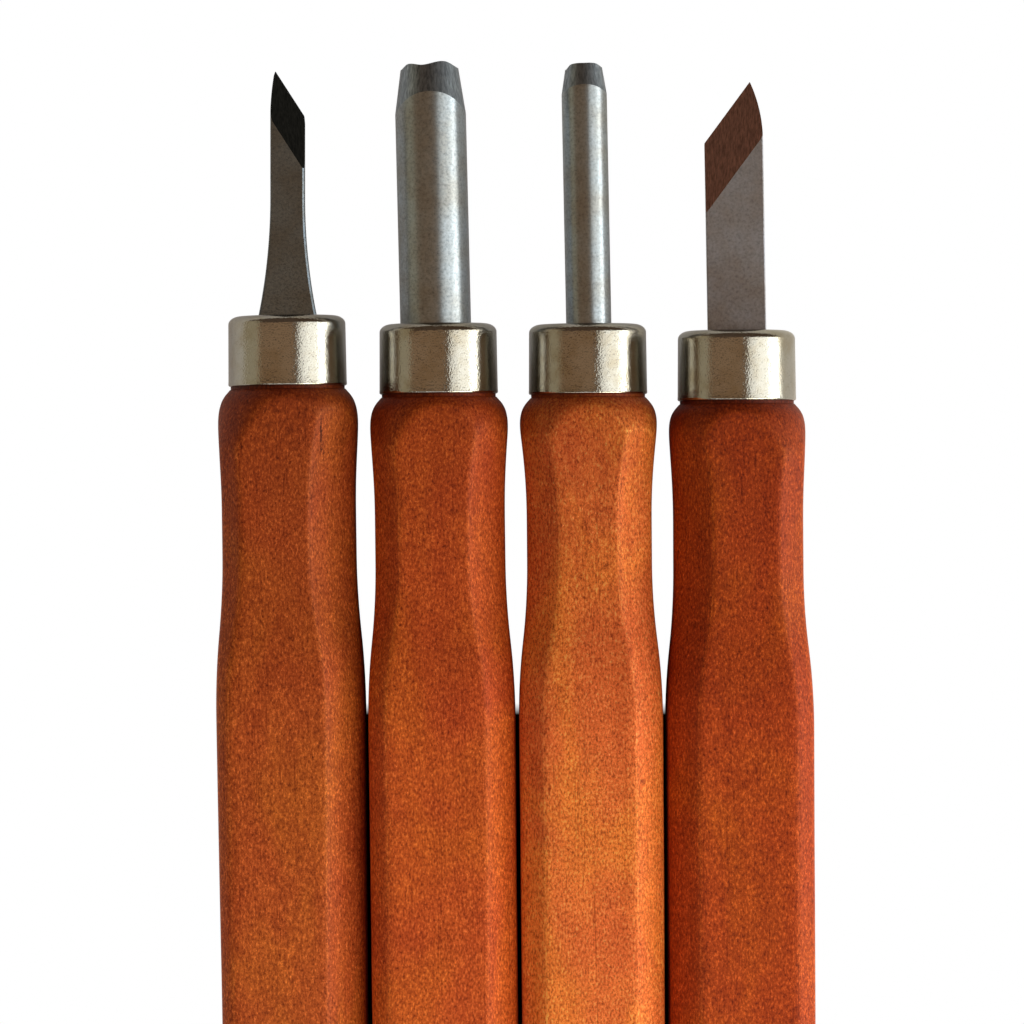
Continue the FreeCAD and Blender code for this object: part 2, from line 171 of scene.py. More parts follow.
class Finishes(bpy.types.PropertyGroup):
    """Colours of the woods and metals"""

    narrow_knife_stain: colour("Narrow Knife Stain", "bf5822", "Stain on this handle")
    wide_gouge_stain: colour("Wide Gouge Stain", "ce5822", "Stain on this handle")
    narrow_gouge_stain: colour("Narrow Gouge Stain", "f77b39", "Stain on this handle")
    broad_knife_stain: colour("Broad Knife Stain", "bb4b18", "Stain on this handle")
    nickel: colour("Nickel", "b8b6ae", "Plating of the ferrules")
    steel: colour("Gouge Steel", "a6b0b8", "Tumbled steel of the gouges")
    gouge_bevel: colour("Gouge Bevel", "8e98a2", "Ground bevel of the gouges")
    dark_steel: colour("Dark Steel", "8492a0", "Smooth steel of the narrow knife")
    dark_bevel: colour("Dark Bevel", "505e66", "Ground bevel of the narrow knife")
    pale_steel: colour("Pale Steel", "b1b5c0", "Tumbled steel of the broad knife")
    red_bevel: colour("Red Bevel", "be9489", "Ground bevel of the broad knife")


class StageSettings(bpy.types.PropertyGroup):
    """Camera, lights and floor"""

    view_width: length("View Width", 103.9, "Width that the camera sees at the height of the handles")
    view_height: length("Camera Height", 601.3, "Height of the camera above the floor")
    view_centre: lengths("View Centre", (-0.38, 23.0), "Point that the camera looks down on")
    side_light: FloatProperty(name="Side Light", description="Brightness of the right boxes", default=1.95)
    low_light: FloatProperty(name="Low Light", description="Brightness of the low right box", default=6.2)
    end_light: FloatProperty(name="End Light", description="Brightness of the box at the butts", default=1.15)
    floor_reach: length("Floor Reach", 5000.0, "Half the width of the floor")


class LinoCutterSettings(bpy.types.PropertyGroup):
    """All settings of the set"""

    handle: PointerProperty(type=HandleSizes)
    ferrule: PointerProperty(type=FerruleSizes)
    blade: PointerProperty(type=BladeSizes)
    finish: PointerProperty(type=Finishes)
    stage: PointerProperty(type=StageSettings)


# Places


MOUNTS = {mount["name"]: mount for mount in frame["record"]["mounts"]}
FERRULE_MOUNT_AT = 2.9 * MM
# How a blade sits in its ferrule: off the axis by so much, and leaning by so many degrees more
BLADE_SEATS = {
    "narrow_knife": (0.10, -0.77),
    "wide_gouge": (-0.25, 0.76),
    "narrow_gouge": (0.15, 0.68),
    "broad_knife": (0.05, 0.60),
}


def tool_place(tool):
    """From a tool's own frame, +Y to the blade and zero at the ferrule's lower edge, to the scene."""
    mount = MOUNTS[f"{tool}_ferrule_outside"]
    along = Vector(mount["axis"]).normalized()
    across = along.cross(Vector((0, 0, 1)))
    turn = Matrix((across, along, (0, 0, 1))).transposed().to_4x4()
    return Matrix.Translation(Vector(mount["pos_m"]) - along * FERRULE_MOUNT_AT) @ turn


def blade_place(tool, ferrule_height):
    shift, lean = BLADE_SEATS[tool]
    seat = Matrix.Translation((shift * MM, ferrule_height, 0))
    return tool_place(tool) @ seat @ Matrix.Rotation(math.radians(lean), 4, "Z")


def hermite(knots, at):
    """Smooth curve through knots of (place, value)."""
    last = len(knots) - 1
    at = min(max(at, knots[0][0]), knots[last][0])
    i = max(k for k in range(last) if knots[k][0] <= at)

    def slope(k):
        a, b = knots[max(k - 1, 0)], knots[min(k + 1, last)]
        return (b[1] - a[1]) / (b[0] - a[0])

    (x0, y0), (x1, y1) = knots[i], knots[i + 1]
    span = x1 - x0
    t = (at - x0) / span
    return (
        (2 * t**3 - 3 * t**2 + 1) * y0
        + (t**3 - 2 * t**2 + t) * span * slope(i)
        + (3 * t**2 - 2 * t**3) * y1
        + (t**3 - t**2) * span * slope(i + 1)
    )


# Meshes


def lathe(profile, steps):
    """A closed body turned about Y from a profile of (radius, y) that starts and ends on the axis."""
    bm = bmesh.new()
    rail = [bm.verts.new((radius, y, 0)) for radius, y in profile]
    edges = [bm.edges.new(pair) for pair in zip(rail, rail[1:])]
    bmesh.ops.spin(
        bm, geom=rail + edges, cent=(0, 0, 0), axis=(0, 1, 0), angle=math.tau, steps=steps, use_merge=True
    )
    bmesh.ops.remove_doubles(bm, verts=bm.verts, dist=1e-7)
    bmesh.ops.recalc_face_normals(bm, faces=bm.faces)
    return bm


def surface(bm, columns, rows, place):
    """A grid whose corner (i, j) is moved to place(i, j)."""
    grid = bmesh.ops.create_grid(bm, x_segments=columns, y_segments=rows, size=0.5)["verts"]
    for v in grid:
        v.co = place(round((v.co.x + 0.5) * columns), round((v.co.y + 0.5) * rows))
    return grid


def cut_open(bm, point, normal):
    """Cut everything on the normal's side away and close the cut."""
    geom = bm.verts[:] + bm.edges[:] + bm.faces[:]
    cut = bmesh.ops.bisect_plane(bm, geom=geom, dist=1e-8, plane_co=point, plane_no=normal, clear_outer=True)
    rim = [e for e in cut["geom_cut"] if isinstance(e, bmesh.types.BMEdge) and e.is_boundary]
    bmesh.ops.holes_fill(bm, edges=rim)


def to_mesh(bm, name, place):
    bmesh.ops.transform(bm, matrix=place, verts=bm.verts)
    bmesh.ops.recalc_face_normals(bm, faces=bm.faces)
    mesh = bpy.data.meshes.new(name)
    bm.to_mesh(mesh)
    bm.free()
    return mesh


def cut_slot(mesh, tool_bm, place):
    """Take the tool shape out of a mesh with an exact boolean."""
    body = bpy.data.objects.new("slot_body", mesh)
    cutter = bpy.data.objects.new("slot_cutter", to_mesh(tool_bm, "slot_cutter", place))
    for obj in (body, cutter):
        bpy.context.scene.collection.objects.link(obj)
    cut = body.modifiers.new("Slot", "BOOLEAN")
    cut.operation, cut.solver, cut.object = "DIFFERENCE", "EXACT", cutter
    evaluated = body.evaluated_get(bpy.context.evaluated_depsgraph_get())
    done = bpy.data.meshes.new_from_object(evaluated)
    for obj in (body, cutter):
        data = obj.data
        bpy.data.objects.remove(obj)
        bpy.data.meshes.remove(data)
    return done


def add_piece(tool, part, mesh, material, sharp=None):
    """Put a finished mesh in the scene in place of its plain node."""
    name = f"{tool}_{part}"
    mesh.name = f"{name}_visual"
    mesh.polygons.foreach_set("use_smooth", [True] * len(mesh.polygons))
    if sharp is not None:
        mesh.set_sharp_from_angle(angle=math.radians(sharp))
    mesh.materials.clear()
    mesh.materials.append(material)
    obj = bpy.data.objects.new(f"{name}_visual", mesh)
    bpy.context.scene.collection.objects.link(obj)
    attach(obj, tool)
    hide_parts(name)
    return obj


# Materials

MULTIPLY = {"data_type": "RGBA", "blend_type": "MULTIPLY"}


def add_node(tree, kind, inputs=None, stops=(), **settings):
    """Add a node. Inputs are values or output sockets to link, by name or number. Stops are for a ramp."""
    node = tree.nodes.new(kind)
    for k, (position, value) in enumerate(stops):
        elements = node.color_ramp.elements
        element = elements[k] if k < 2 else elements.new(position)
        element.position = position
        element.color = value if hasattr(value, "__len__") else (value, value, value, 1)
    for key, value in settings.items():
        setattr(node, key, value)
    for key, value in (inputs or {}).items():
        if isinstance(value, bpy.types.NodeSocket):
            tree.links.new(value, node.inputs[key])
        else:
            node.inputs[key].default_value = value
    return node


def new_material(name):
    """An empty material, its node tree, its output and the Object coordinates that its patterns use."""
    material = bpy.data.materials.new(name)
    material.use_nodes = True
    tree = material.node_tree
    tree.nodes.clear()
    output = add_node(tree, "ShaderNodeOutputMaterial")
    here = add_node(tree, "ShaderNodeTexCoord").outputs["Object"]
    return material, tree, output, here


def per_metre(mm):
    """Noise scale whose features are about so many millimetres across."""
    return 1 / (mm * MM)


class LINO_OT_handles(bpy.types.Operator):
    """Turn the four handles, plane their eight flats and give them their stained wood"""

    bl_idname = "lino.handles"
    bl_label = "Handles"

    COLUMNS_PER_FACE = 28
    BUTT_STEPS = 24
    # millimetres: the blank is wider than the flats, which cut all of it away below the waist
    BLANK_RADIUS = 10.4
    BUTT_SHORT = 0.02
    SPIGOT_CHAMFER = 0.4
    # place below the ferrule and radius of the turned shoulder, in millimetres
    SHOULDER = [(0.35, 5.86), (1.0, 6.42), (1.65, 6.8), (2.95, 7.25), (8.4, 8.7)]
    SHOULDER += [(17, BLANK_RADIUS), (200, BLANK_RADIUS)]
    # the groove under the ferrule stays round, and the flats start below it
    FLATS_FROM = 0.34
    # painted shade darkens the wood from 36 mm below the ferrule upwards
    FERRULE_SHADE_REACH = 36
    # the hollows that sanding left are about 7 mm across and 12 mm long, and start within 5 mm
    HOLLOW_WIDTH, HOLLOW_LENGTH, HOLLOW_START = 7, 12, 5

    def profile(self, size):
        """The turned blank: spigot, notch, rounded shoulder, then more than full width to the butt."""
        end, dome = size.full_length - self.BUTT_SHORT * MM, size.dome_radius
        deep, thick, groove = size.spigot_length / MM, size.spigot_radius / MM, size.notch_radius / MM
        chamfer = self.SPIGOT_CHAMFER
        spigot = [(0, deep), (thick - chamfer, deep), (thick, deep - chamfer), (thick, 0.0)]
        spigot += [(groove - 0.18, 0.0), (groove, -0.02), (groove, -0.33)]
        # rings of the mesh, close together at the shoulder and wider apart towards the butt
        stations = [0.36 + 0.16 * k for k in range(20)] + [3.6 + 0.3 * k for k in range(9)]
        stations += [6.5 + 0.75 * k for k in range(36)]
        stations += [33.5 + 1.5 * k for k in range(39)]
        rail = [(r * MM, y * MM) for r, y in spigot]
        rim = math.asin(self.BLANK_RADIUS * MM / dome)
        dome_from = end - dome + dome * math.cos(rim)
        stations = [at for at in stations if at * MM < dome_from - 0.5 * MM]
        rail += [(hermite(self.SHOULDER, at) * MM, -at * MM) for at in stations]
        for k in range(self.BUTT_STEPS + 1):
            turn = rim * (1 - k / self.BUTT_STEPS)
            rail.append((dome * math.sin(turn), -(end - dome + dome * math.cos(turn))))
        return rail

    def face_depth(self, size, depths, s):
        """Distance of one flat from the axis at a place along the handle."""
        shoulder, waist, bulge, butt = depths
        if s < size.waist_from:
            run = size.waist_from - size.shoulder_at
            rise = shoulder - waist
            if abs(rise) < 1e-5:
                return waist
            bend = (run**2 + rise**2) / (2 * abs(rise))
            reach = max(min(size.waist_from - s, bend), 0)
            return waist + math.copysign(bend - math.sqrt(bend**2 - reach**2), rise)
        if s < size.waist_to:
            return waist
        if s < size.bulge_at:
            t = (s - size.waist_to) / (size.bulge_at - size.waist_to)
            return waist + (bulge - waist) * (2 * t * t if t < 0.5 else 1 - 2 * (1 - t) ** 2)
        return bulge + (butt - bulge) * (s - size.bulge_at) / (size.full_length - size.bulge_at)

    def flats(self, size, tool):
        """Angle and depths of the eight flats, counted from +X towards the top."""
        halves = [w / 2 for w in getattr(size, tool)]
        depths = [d / 2 for d in size.depths]
        left, right = getattr(size, f"{tool}_facets")
        corners = {45: right, 135: left, 225: size.underside_facets, 315: size.underside_facets}
        flats = []
        for angle in range(0, 360, 45):
            if angle in corners:
                values = [
                    (a + b - corners[angle] - extra) / math.sqrt(2)
                    for a, b, extra in zip(halves, depths, size.facet_extra)
                ]
            else:
                values = halves if angle % 180 == 0 else depths
            flats.append((math.radians(angle), values))
        return flats

    def handle(self, size, tool, seed):
        per_face = self.COLUMNS_PER_FACE
        bm = lathe(self.profile(size), 8 * per_face)
        # how near each point lies to a ridge; the wood is lightened there, as wear and as painted highlight
        ridge_nearness = bm.verts.layers.float.new("ridge")
        flats = self.flats(size, tool)
        ridges = {}
        for v in bm.verts:
            blank = math.hypot(v.co.x, v.co.z)
            s = -v.co.y
            if s < self.FLATS_FROM * MM or blank < 1e-6:
                continue
            # each column keeps to its own flat, closer together towards the ridges
            key = round(s * 1e6)
            if key not in ridges:
                d = [self.face_depth(size, values, s) for _, values in flats]
                angles = []
                for i in range(8):
                    near, far = d[i - 1], d[i]
                    angles.append(
                        flats[i][0]
                        - math.radians(45)
                        + math.atan2(far - near * math.cos(math.pi / 4), near * math.sin(math.pi / 4))
                    )
                ridges[key] = (d, angles)
            d, angles = ridges[key]
            share = (math.atan2(v.co.z, v.co.x) % math.tau) / math.tau
            column = round(share * 8 * per_face) % (8 * per_face)
            face, k = divmod(column, per_face)
            t = k / per_face
            t = 0.45 * t + 0.55 * (t - math.sin(math.tau * t) / math.tau)
            start = angles[face]
            stop = angles[(face + 1) % 8] + (math.tau if face == 7 else 0)
            turn = start + (stop - start) * t
            reach = [math.cos(turn - flat[0]) / depth for flat, depth in zip(flats, d)]
            # the ridges at the sides are rounder than those along the top
            high = min(max((abs(math.sin(turn)) - 0.4) / 0.5, 0), 1)
            power = size.side_crispness + (size.ridge_crispness - size.side_crispness) * high
            sharp = max(max(reach), 1 / blank)
            soft = sum((q / sharp) ** power for q in reach + [1 / blank] if q > 0) ** (1 / power)
            radius = 1 / (sharp * soft)
            v[ridge_nearness] = min((1 - 1 / soft) / (1 - 2 ** (-1 / power)), 1.5)
            side = Vector((math.cos(turn), 0, math.sin(turn)))
            further = Vector((seed, s / (self.HOLLOW_LENGTH * MM), 0))
            spot = side * radius / (self.HOLLOW_WIDTH * MM) + further
            low = 0.5 + 0.5 * noise.noise(spot)
            fade = min(s / (self.HOLLOW_START * MM), 1)
            radius -= size.hand_shaping * low * fade
            v.co = side * radius + Vector((0, -s, 0))
        return bm

    def wood(self, tool, stain, seed):
        """Beech, turned and planed, stained red and wiped with thin varnish.

        The eye reads close flecked grain along the handle with pale specks that are painted glints,
        cloudy stain, painted shade that darkens the wood towards the ferrule and most in the groove
        under it, ridges lighter partly from wear and partly as a painted highlight, and a low satin gloss.
        """
        material, tree, output, here = new_material(f"{tool}_stained_beech")
        place = tool_place(tool)
        lean = math.atan2(place[1][0], place[0][0])
        # turned and moved so that Y runs along the handle from the ferrule's lower edge
        along = add_node(
            tree,
            "ShaderNodeMapping",
            {"Vector": here, "Location": place.inverted().translation, "Rotation": (0, 0, -lean)},
        ).outputs["Vector"]

        # width in mm, stretch along the handle, detail, roughness, shift and distortion of each pattern: the
        # pores and rays of beech are 0.1 to 0.3 mm wide. The shift is in metres, well outside the tool, so
        # that each handle is cut from other wood
        patterns = []
        for mm, stretch, detail, roughness, shift, distortion in (
            (0.21, 1.9, 3, 0.70, 0.0, 0.0),
            (0.18, 1.6, 1, 0.50, 0.31, 0.0),
            (2.60, 1.6, 3, 0.55, 0.47, 0.8),
            (1.50, 42.0, 3, 0.60, 0.53, 0.15),
            (9.00, 1.8, 2, 0.50, 0.77, 0.6),
        ):
            moved = (seed + shift, shift * 2, seed)
            inputs = {"Vector": along, "Location": moved, "Scale": (1, 1 / stretch, 1)}
            squeezed = add_node(tree, "ShaderNodeMapping", inputs).outputs["Vector"]
            inputs = {"Vector": squeezed, "Scale": per_metre(mm), "Detail": detail}
            inputs.update({"Roughness": roughness, "Distortion": distortion})
            patterns.append(add_node(tree, "ShaderNodeTexNoise", inputs).outputs["Fac"])
        flecks, pores, blotches, streaks, clouds = patterns

        def toned(red, green, blue):
            return (min(stain[0] * red, 1), min(stain[1] * green, 1), min(stain[2] * blue, 1), 1)

        fleck_tones = [
            (0.30, toned(0.36, 0.27, 0.25)),
            (0.45, toned(0.86, 0.82, 0.82)),
            (0.55, toned(1.08, 1.13, 1.20)),
            (0.70, toned(1.85, 2.35, 3.00)),
        ]
        # dark pores, and pale specks at the top of the ramp that are painted glints
        pore_and_glint_tones = [(0.26, (0.55, 0.46, 0.42, 1)), (0.38, 1.0), (0.70, 1.0), (0.80, (1.6, 2.2, 3.0, 1))]
        blotch_tones = [(0.34, (0.90, 0.85, 0.84, 1)), (0.62, (1.05, 1.07, 1.07, 1))]
        # the stain took redder in some places and left others golden
        cloud_tones = [(0.36, (0.94, 0.84, 0.92, 1)), (0.50, 1.0), (0.64, (1.05, 1.20, 0.96, 1))]
        # growth lines, and here and there a hair crack, run the length of the handle
        line_tones = [(0.38, (0.93, 0.89, 0.86, 1)), (0.45, 1.0), (0.494, 1.0)]
        line_tones += [(0.5, (0.62, 0.50, 0.44, 1)), (0.506, 1.0)]
        # painted shade: the wood is made darker towards the ferrule, darkest in the groove under its rim
        step = add_node(tree, "ShaderNodeSeparateXYZ", {"Vector": along}).outputs["Y"]
        inputs = {"Value": step, "From Min": -self.FERRULE_SHADE_REACH * MM, "From Max": 0.0}
        shade_to_ferrule = add_node(tree, "ShaderNodeMapRange", inputs).outputs["Result"]
        # these stops are painted shade, not stain, and the darkest one lies in the groove under the ferrule
        stained = [(0.0, 1.0), (0.45, (0.94, 0.93, 0.93, 1)), (0.75, (0.82, 0.78, 0.78, 1))]
        stained += [(0.93, (0.70, 0.64, 0.62, 1)), (0.985, (0.55, 0.45, 0.42, 1))]
        stained += [(1.0, (0.16, 0.10, 0.07, 1))]
        layers = [(flecks, fleck_tones), (pores, pore_and_glint_tones), (blotches, blotch_tones)]
        layers += [(clouds, cloud_tones), (streaks, line_tones), (shade_to_ferrule, stained)]
        for across, down, half_width, half_length, left in MARKS[tool]:
            # distance from the middle of the mark, 1 at its rim, made ragged by the flecks
            inputs = {"Vector": along, "Location": (-across / half_width, down / half_length, 0)}
            inputs["Scale"] = (per_metre(half_width), per_metre(half_length), 0)
            spot = add_node(tree, "ShaderNodeMapping", inputs).outputs["Vector"]
            away = add_node(tree, "ShaderNodeVectorMath", {0: spot}, operation="LENGTH").outputs["Value"]
            ragged = add_node(tree, "ShaderNodeMath", {0: away, 1: flecks}, operation="MULTIPLY")
            tones = [(0.22, (left, left * 0.82, left * 0.78, 1)), (0.62, 1.0)]
            layers.append((ragged.outputs["Value"], tones))
        shades = [
            add_node(tree, "ShaderNodeValToRGB", {"Fac": pattern}, stops=tones).outputs["Color"]
            for pattern, tones in layers
        ]
        colour_now = shades[0]
        for tone in shades[1:]:
            inputs = {0: 1.0, 6: colour_now, 7: tone}
            colour_now = add_node(tree, "ShaderNodeMix", inputs, **MULTIPLY).outputs[2]

        # ridges lighter: partly worn in the hand, partly a painted highlight where the rounded edges catch
        # the light
        ridge = add_node(tree, "ShaderNodeAttribute", attribute_name="ridge").outputs["Fac"]
        ridge_wear_and_highlight = add_node(
            tree, "ShaderNodeValToRGB", {"Fac": ridge}, stops=[(0.35, 0.0), (0.7, 0.25), (1.0, 1.0)]
        ).outputs["Color"]
        uneven = add_node(
            tree, "ShaderNodeValToRGB", {"Fac": blotches}, stops=[(0.35, 0.30), (0.65, 0.85)]
        ).outputs["Color"]
        ridge_wear_and_highlight = add_node(tree, "ShaderNodeMath", {0: ridge_wear_and_highlight, 1: uneven}, operation="MULTIPLY").outputs["Value"]
        # the ridge colour, lighter from wear and from painted highlight
        wear_and_highlight_tint = (1.25, 1.55, 1.70, 1)
        worn = add_node(tree, "ShaderNodeMix", {0: 1.0, 6: colour_now, 7: wear_and_highlight_tint}, **MULTIPLY).outputs[2]
        colour_now = add_node(
            tree, "ShaderNodeMix", {0: ridge_wear_and_highlight, 6: colour_now, 7: worn}, data_type="RGBA"
        ).outputs[2]

        # raised grain, a few hundredths of a millimetre high
        relief = {}
        for height, mm, strength in ((flecks, 0.055, 0.7), (streaks, 0.05, 0.4)):
            settings = {"Height": height, "Distance": mm * MM, "Strength": strength, **relief}
            relief = {"Normal": add_node(tree, "ShaderNodeBump", settings).outputs["Normal"]}
        gloss = add_node(
            tree, "ShaderNodeMapRange", {"Value": flecks, "To Min": 0.58, "To Max": 0.42}
        ).outputs["Result"]
        inputs = {"Base Color": colour_now, "Roughness": gloss, "IOR": 1.45, "Specular IOR Level": 0.22}
        shader = add_node(tree, "ShaderNodeBsdfPrincipled", {**inputs, **relief})
        tree.links.new(shader.outputs["BSDF"], output.inputs["Surface"])
        return material

    def execute(self, context):
        settings = context.scene.lino_cutters
        for i, tool in enumerate(TOOLS):
            bm = self.handle(settings.handle, tool, 3.7 * i + 1)
            mesh = to_mesh(bm, tool, tool_place(tool))
            stain = getattr(settings.finish, f"{tool}_stain")
            add_piece(tool, "handle", mesh, self.wood(tool, stain, 1.0 + 0.9 * i), sharp=50)
        return {"FINISHED"}


def knife_slot(size, tool, clearance):
    """The bar that a knife needs to pass through the ferrule's top."""
    _, _, base, _, thickness = getattr(size, tool)
    bm = bmesh.new()
    bmesh.ops.create_cube(bm, size=1.0)
    bmesh.ops.scale(
        bm, vec=(base + 2 * clearance, 4 * size.heel, thickness + 2 * clearance), verts=bm.verts
    )
    return bm


def arch_body(columns, rows, point, low):
    """A closed body under an arch. point(k, j) lies on the arch, and low is the height of its flat foot."""
    bm = bmesh.new()

    def flat(p):
        return Vector((p.x, p.y, low))

    surface(
        bm, 2 * columns, rows, lambda i, j: point(i, j) if i <= columns else flat(point(2 * columns - i, j))
    )
    for row in (0, rows):
        surface(bm, columns, 4, lambda k, j, row=row: point(k, row).lerp(flat(point(k, row)), j / 4))
    bmesh.ops.remove_doubles(bm, verts=bm.verts, dist=1e-7)
    bmesh.ops.dissolve_degenerate(bm, dist=1e-8, edges=bm.edges)
    bmesh.ops.recalc_face_normals(bm, faces=bm.faces)
    return bm


LEG_STEPS = 3
CROWN_STEPS = 56
ARCH_STEPS = CROWN_STEPS + 2 * LEG_STEPS


def plain_arch(radius, leg, centre, y0, y1):
    """A straight body with the section of half a round on two short legs."""

    def point(k, j):
        turn = math.pi * (1 - min(max(k - LEG_STEPS, 0), CROWN_STEPS) / CROWN_STEPS)
        past = max(LEG_STEPS - k, k - LEG_STEPS - CROWN_STEPS, 0)
        height = centre + radius * math.sin(turn) - leg * past / LEG_STEPS
        return Vector((radius * math.cos(turn), (y0, y1)[j], height))

    return arch_body(ARCH_STEPS, 1, point, centre - leg)


def gouge_centre(size, tool):
    _, width, _, leg = getattr(size, tool)
    return (leg - width / 2) / 2


def gouge_slot(size, tool, clearance):
    _, width, _, leg = getattr(size, tool)
    return plain_arch(
        width / 2 + clearance, leg + clearance, gouge_centre(size, tool), -2 * size.heel, 2 * size.heel
    )


class LINO_OT_ferrules(bpy.types.Operator):
    """Draw the four plated ferrules, with a slot for each blade"""

    bl_idname = "lino.ferrules"
    bl_label = "Ferrules"

    ROUND_STEPS = 144
    CORNER_STEPS = 14
    SIDE_STEPS = 10

    def profile(self, size):
        """Cap section from the axis over the top corner, down to the rolled mouth and back inside."""
        mm, r, h, wall = MM, size.radius, size.height, size.wall
        across, down = size.corner
        top, low = r - size.draft, 0.45 * mm
        rail = [(0, h), (1.5 * mm, h), (3.0 * mm, h), (top - across - 0.4 * mm, h - 0.01 * mm)]
        for k in range(self.CORNER_STEPS + 1):
            turn = math.pi / 2 * (1 - k / self.CORNER_STEPS)
            rail.append((top - across + across * math.cos(turn), h - down + down * math.sin(turn)))
        steps = self.SIDE_STEPS
        for k in range(1, steps + 1):
            rail.append((top + size.draft * k / steps, h - down - (h - down - low) * k / steps))
        # the mouth is rolled out a hair into a bead
        rail += [(r + 0.012 * mm, 0.30 * mm), (r + 0.02 * mm, 0.18 * mm), (r - 0.01 * mm, 0.08 * mm)]
        rail += [(r - 0.07 * mm, 0.02 * mm), (r - 0.17 * mm, -0.02 * mm)]
        rail += [(r - wall + 0.08 * mm, 0.01 * mm), (r - wall, 0.10 * mm)]
        inside = h - wall
        rail += [(r - wall, inside - 0.8 * mm), (r - wall - 0.25 * mm, inside - 0.25 * mm)]
        rail += [(r - wall - 0.8 * mm, inside), (0, inside)]
        return rail

    def nickel(self, tint):
        """Bright nickel plate on drawn steel.

        The eye reads a warm silver mirror, slightly blurred and rippled like orange peel, with faint
        drawing lines round it, dull specks, and patches of brown tarnish.
        """
        material, tree, output, here = new_material("nickel_plate_drawn")
        # width in mm, detail and roughness of the ripples of the plating, the specks and the tarnish
        patterns = []
        for mm, detail, roughness in ((0.9, 2.0, 0.5), (0.17, 1.0, 0.5), (3.5, 4.0, 0.6)):
            settings = {"Vector": here, "Scale": per_metre(mm), "Detail": detail, "Roughness": roughness}
            patterns.append(add_node(tree, "ShaderNodeTexNoise", settings).outputs["Fac"])
        peel, specks, tarnish = patterns
        # the drawing lines run round the ferrule, 0.12 mm wide
        inputs = {"Vector": here, "Scale": (per_metre(9.0), per_metre(0.12), per_metre(9.0))}
        rings = add_node(tree, "ShaderNodeMapping", inputs).outputs["Vector"]
        drawn = add_node(
            tree, "ShaderNodeTexNoise", {"Vector": rings, "Scale": 1.0, "Detail": 2.0}
        ).outputs["Fac"]
        clean = list(tint)[:3]
        dull = [c * k for c, k in zip(clean, (0.86, 0.80, 0.70))] + [1]
        metal = add_node(
            tree, "ShaderNodeValToRGB", {"Fac": tarnish}, stops=[(0.34, dull), (0.55, clean + [1])]
        ).outputs["Color"]
        pits = add_node(
            tree, "ShaderNodeValToRGB", {"Fac": specks}, stops=[(0.25, 0.55), (0.38, 1.0)]
        ).outputs["Color"]
        metal = add_node(tree, "ShaderNodeMix", {0: 0.8, 6: metal, 7: pits}, **MULTIPLY).outputs[2]
        blur = add_node(
            tree, "ShaderNodeMapRange", {"Value": specks, "To Min": 0.20, "To Max": 0.10}
        ).outputs["Result"]
        relief = {}
        for height, mm, strength in ((peel, 0.024, 0.5), (specks, 0.026, 0.8), (drawn, 0.003, 0.4)):
            settings = {"Height": height, "Distance": mm * MM, "Strength": strength, **relief}
            relief = {"Normal": add_node(tree, "ShaderNodeBump", settings).outputs["Normal"]}
        inputs = {"Base Color": metal, "Metallic": 1.0, "Roughness": blur, **relief}
        shader = add_node(tree, "ShaderNodeBsdfPrincipled", inputs)
        tree.links.new(shader.outputs["BSDF"], output.inputs["Surface"])
        return material

    def execute(self, context):
        settings = context.scene.lino_cutters
        size = settings.ferrule
        metal = self.nickel(settings.finish.nickel)
        for tool in TOOLS:
            mesh = to_mesh(lathe(self.profile(size), self.ROUND_STEPS), tool, tool_place(tool))
            slot = knife_slot if tool in KNIVES else gouge_slot
            opening = slot(settings.blade, tool, size.slot_clearance)
            mesh = cut_slot(mesh, opening, blade_place(tool, size.height))
            add_piece(tool, "ferrule", mesh, metal, sharp=40)
        return {"FINISHED"}


